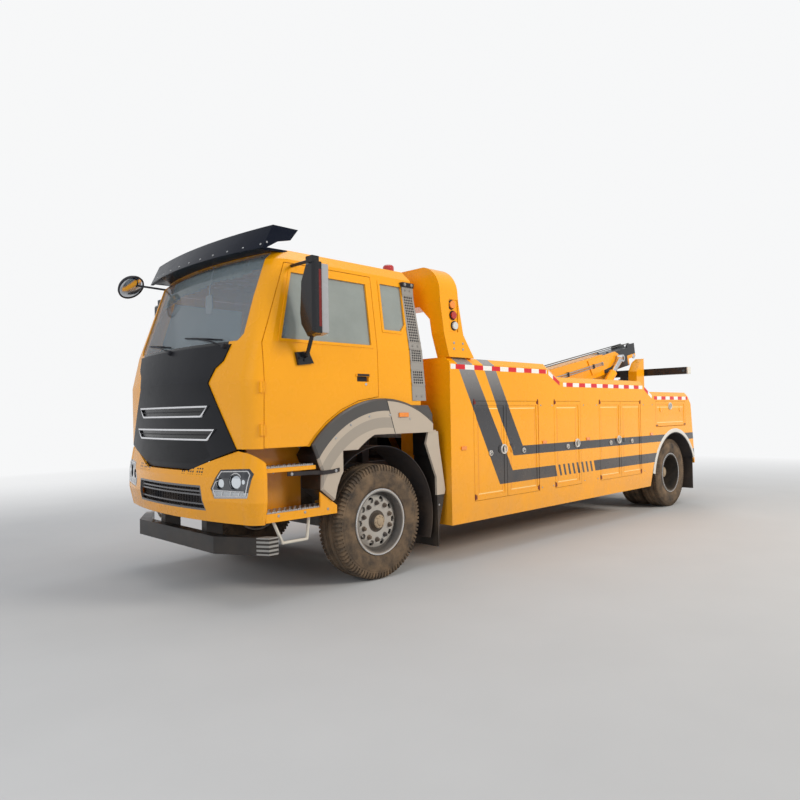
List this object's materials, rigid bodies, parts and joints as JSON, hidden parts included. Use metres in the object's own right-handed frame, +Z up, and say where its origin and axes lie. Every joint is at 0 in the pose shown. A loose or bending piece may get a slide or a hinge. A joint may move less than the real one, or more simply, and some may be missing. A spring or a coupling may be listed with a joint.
{
  "type": "tow truck",
  "caption": "Recovery tow truck with a forward-control cab, stepped locker body, light gantry, raising and extending boom, and a folding rear underlift with a crossbar.",
  "frame": {"origin": "on the ground under the middle of the whole truck's box", "axes": "+X forward, +Y to the driver's side (left), +Z up"},
  "size_m": [8.8134, 2.86, 3.0848],
  "materials": {
    "body_paint": "gloss orange-yellow enamel",
    "black_paint": "satin black enamel",
    "black_plastic": "grained black moulding",
    "grey_plastic": "grained charcoal moulding",
    "smoked_plastic": "gloss smoked moulding",
    "frame_steel": "satin chassis paint",
    "cast_metal": "painted casting",
    "rim_silver": "satin silver paint",
    "bright_steel": "polished rod",
    "alloy": "satin plate",
    "wire": "laid wire rope",
    "tyre_rubber": "dusty tread rubber",
    "glazing": "clear laminated glass",
    "lamp_lens": "clear moulded lens",
    "amber_lens": "amber lens",
    "trim_fabric": "woven seat cloth"
  },
  "bodies": {
    "chassis": {"frame_rails": "frame_steel", "axles": "frame_steel", "leaf_springs": "frame_steel", "powertrain": "cast_metal", "cab_shell": "body_paint", "cab_glass": "glazing", "front_panel": "black_plastic", "front_bumper": "body_paint", "headlamps": "lamp_lens", "underrun_bar": "black_paint", "entry_steps": "body_paint", "front_fenders": "grey_plastic", "sun_visor": "smoked_plastic", "seats": "trim_fabric", "dashboard": "black_plastic", "locker_bodies": "body_paint", "deck": "alloy", "rear_arches": "black_plastic", "light_gantry": "body_paint", "boom_pedestal": "body_paint", "winches": "frame_steel", "tail_mast": "body_paint", "signal_lamps": "amber_lens", "kerb_mirror": "black_plastic"},
    "knuckle_left": {"knuckle_left": "cast_metal"},
    "front_wheel_left": {"front_rim_left": "rim_silver", "front_tyre_left": "tyre_rubber"},
    "rear_wheels_left": {"rear_rims_left": "rim_silver", "rear_tyres_left": "tyre_rubber"},
    "cab_door_left": {"cab_door_left": "body_paint", "door_glass_left": "glazing", "mirror_left": "black_plastic"},
    "locker_door_1_left": {"locker_door_1_left": "body_paint"},
    "locker_door_2_left": {"locker_door_2_left": "body_paint"},
    "locker_door_3_left": {"locker_door_3_left": "body_paint"},
    "locker_door_4_left": {"locker_door_4_left": "body_paint"},
    "locker_door_5_left": {"locker_door_5_left": "body_paint"},
    "tool_flap_left": {"tool_flap_left": "body_paint"},
    "knuckle_right": {"knuckle_right": "cast_metal"},
    "front_wheel_right": {"front_rim_right": "rim_silver", "front_tyre_right": "tyre_rubber"},
    "rear_wheels_right": {"rear_rims_right": "rim_silver", "rear_tyres_right": "tyre_rubber"},
    "cab_door_right": {"cab_door_right": "body_paint", "door_glass_right": "glazing", "mirror_right": "black_plastic"},
    "locker_door_1_right": {"locker_door_1_right": "body_paint"},
    "locker_door_2_right": {"locker_door_2_right": "body_paint"},
    "locker_door_3_right": {"locker_door_3_right": "body_paint"},
    "locker_door_4_right": {"locker_door_4_right": "body_paint"},
    "locker_door_5_right": {"locker_door_5_right": "body_paint"},
    "tool_flap_right": {"tool_flap_right": "body_paint"},
    "boom": {"boom": "body_paint"},
    "boom_extension": {"boom_extension": "black_paint", "winch_ropes": "wire"},
    "lift_barrels": {"lift_barrels": "black_paint"},
    "lift_rods": {"lift_rods": "bright_steel"},
    "underlift_arm": {"underlift_arm": "black_paint"},
    "underlift_slide": {"underlift_slide": "black_paint"},
    "crossbar": {"crossbar": "black_paint"}
  },
  "joints": [
    {"name": "steer_left", "type": "hinge", "parent": "chassis", "child": "knuckle_left", "pos_m": [2.8765, 0.838, 0.525], "axis": [0, 0, 1], "range_deg": [-35, 35]},
    {"name": "front_wheel_turns_left", "type": "hinge", "parent": "knuckle_left", "child": "front_wheel_left", "pos_m": [2.8765, 1, 0.525], "axis": [0, 1, 0], "continuous": true},
    {"name": "rear_wheels_turn_left", "type": "hinge", "parent": "chassis", "child": "rear_wheels_left", "pos_m": [-3.2535, 0.9, 0.525], "axis": [0, 1, 0], "continuous": true},
    {"name": "cab_door_opens_left", "type": "hinge", "parent": "chassis", "child": "cab_door_left", "pos_m": [4.1165, 1.151, 1.6], "axis": [0, 0, -1], "range_deg": [0, 65]},
    {"name": "locker_1_opens_left", "type": "hinge", "parent": "chassis", "child": "locker_door_1_left", "pos_m": [1.615, 1.238, 1.1], "axis": [0, 0, -1], "range_deg": [0, 90]},
    {"name": "locker_2_opens_left", "type": "hinge", "parent": "chassis", "child": "locker_door_2_left", "pos_m": [0.442, 1.238, 1.1], "axis": [0, 0, 1], "range_deg": [0, 90]},
    {"name": "locker_3_opens_left", "type": "hinge", "parent": "chassis", "child": "locker_door_3_left", "pos_m": [0.083, 1.238, 1.1], "axis": [0, 0, -1], "range_deg": [0, 90]},
    {"name": "locker_4_opens_left", "type": "hinge", "parent": "chassis", "child": "locker_door_4_left", "pos_m": [-1.006, 1.238, 1.1], "axis": [0, 0, -1], "range_deg": [0, 90]},
    {"name": "locker_5_opens_left", "type": "hinge", "parent": "chassis", "child": "locker_door_5_left", "pos_m": [-2.179, 1.238, 1.1], "axis": [0, 0, 1], "range_deg": [0, 90]},
    {"name": "tool_flap_opens_left", "type": "hinge", "parent": "chassis", "child": "tool_flap_left", "pos_m": [-3.232, 1.238, 1.2625], "axis": [-1, 0, 0], "range_deg": [0, 90]},
    {"name": "steer_right", "type": "hinge", "parent": "chassis", "child": "knuckle_right", "pos_m": [2.8765, -0.838, 0.525], "axis": [0, 0, 1], "range_deg": [-35, 35]},
    {"name": "front_wheel_turns_right", "type": "hinge", "parent": "knuckle_right", "child": "front_wheel_right", "pos_m": [2.8765, -1, 0.525], "axis": [0, 1, 0], "continuous": true},
    {"name": "rear_wheels_turn_right", "type": "hinge", "parent": "chassis", "child": "rear_wheels_right", "pos_m": [-3.2535, -0.9, 0.525], "axis": [0, 1, 0], "continuous": true},
    {"name": "cab_door_opens_right", "type": "hinge", "parent": "chassis", "child": "cab_door_right", "pos_m": [4.1165, -1.151, 1.6], "axis": [0, 0, 1], "range_deg": [0, 65]},
    {"name": "locker_1_opens_right", "type": "hinge", "parent": "chassis", "child": "locker_door_1_right", "pos_m": [1.615, -1.238, 1.1], "axis": [0, 0, 1], "range_deg": [0, 90]},
    {"name": "locker_2_opens_right", "type": "hinge", "parent": "chassis", "child": "locker_door_2_right", "pos_m": [0.442, -1.238, 1.1], "axis": [0, 0, -1], "range_deg": [0, 90]},
    {"name": "locker_3_opens_right", "type": "hinge", "parent": "chassis", "child": "locker_door_3_right", "pos_m": [0.083, -1.238, 1.1], "axis": [0, 0, 1], "range_deg": [0, 90]},
    {"name": "locker_4_opens_right", "type": "hinge", "parent": "chassis", "child": "locker_door_4_right", "pos_m": [-1.006, -1.238, 1.1], "axis": [0, 0, 1], "range_deg": [0, 90]},
    {"name": "locker_5_opens_right", "type": "hinge", "parent": "chassis", "child": "locker_door_5_right", "pos_m": [-2.179, -1.238, 1.1], "axis": [0, 0, -1], "range_deg": [0, 90]},
    {"name": "tool_flap_opens_right", "type": "hinge", "parent": "chassis", "child": "tool_flap_right", "pos_m": [-3.232, -1.238, 1.2625], "axis": [1, 0, 0], "range_deg": [0, 90]},
    {"name": "boom_raises", "type": "hinge", "parent": "chassis", "child": "boom", "pos_m": [0.4265, 0, 1.64], "axis": [0, 1, 0], "range_deg": [0, 35]},
    {"name": "boom_extends", "type": "slide", "parent": "boom", "child": "boom_extension", "axis": [-0.981, 0, 0.1942], "range_m": [0, 1.2]},
    {"name": "lift_barrels_swing", "type": "hinge", "parent": "chassis", "child": "lift_barrels", "pos_m": [-1.9415, 0, 0.96], "axis": [0, 1, 0], "range_deg": [0, 44]},
    {"name": "lift_rods_extend", "type": "slide", "parent": "lift_barrels", "child": "lift_rods", "axis": [-0.758, 0, 0.6522], "range_m": [0, 1.45]},
    {"name": "underlift_folds", "type": "hinge", "parent": "chassis", "child": "underlift_arm", "pos_m": [-4.2835, 0, 0.62], "axis": [0, -1, 0], "range_deg": [0, 95]},
    {"name": "underlift_extends", "type": "slide", "parent": "underlift_arm", "child": "underlift_slide", "axis": [0, 0, 1], "range_m": [-0.5, 0.15]},
    {"name": "crossbar_swivels", "type": "hinge", "parent": "underlift_slide", "child": "crossbar", "pos_m": [-4.2835, 0, 2.158], "axis": [1, 0, 0], "range_deg": [-15, 15]}
  ],
  "couplings": [
    {"joint": "steer_right", "follows": "steer_left", "ratio": 1},
    {"joint": "lift_barrels_swing", "follows": "boom_raises", "ratio": 1.23},
    {"joint": "lift_rods_extend", "follows": "boom_raises", "m_per_rad": 2.32}
  ]
}
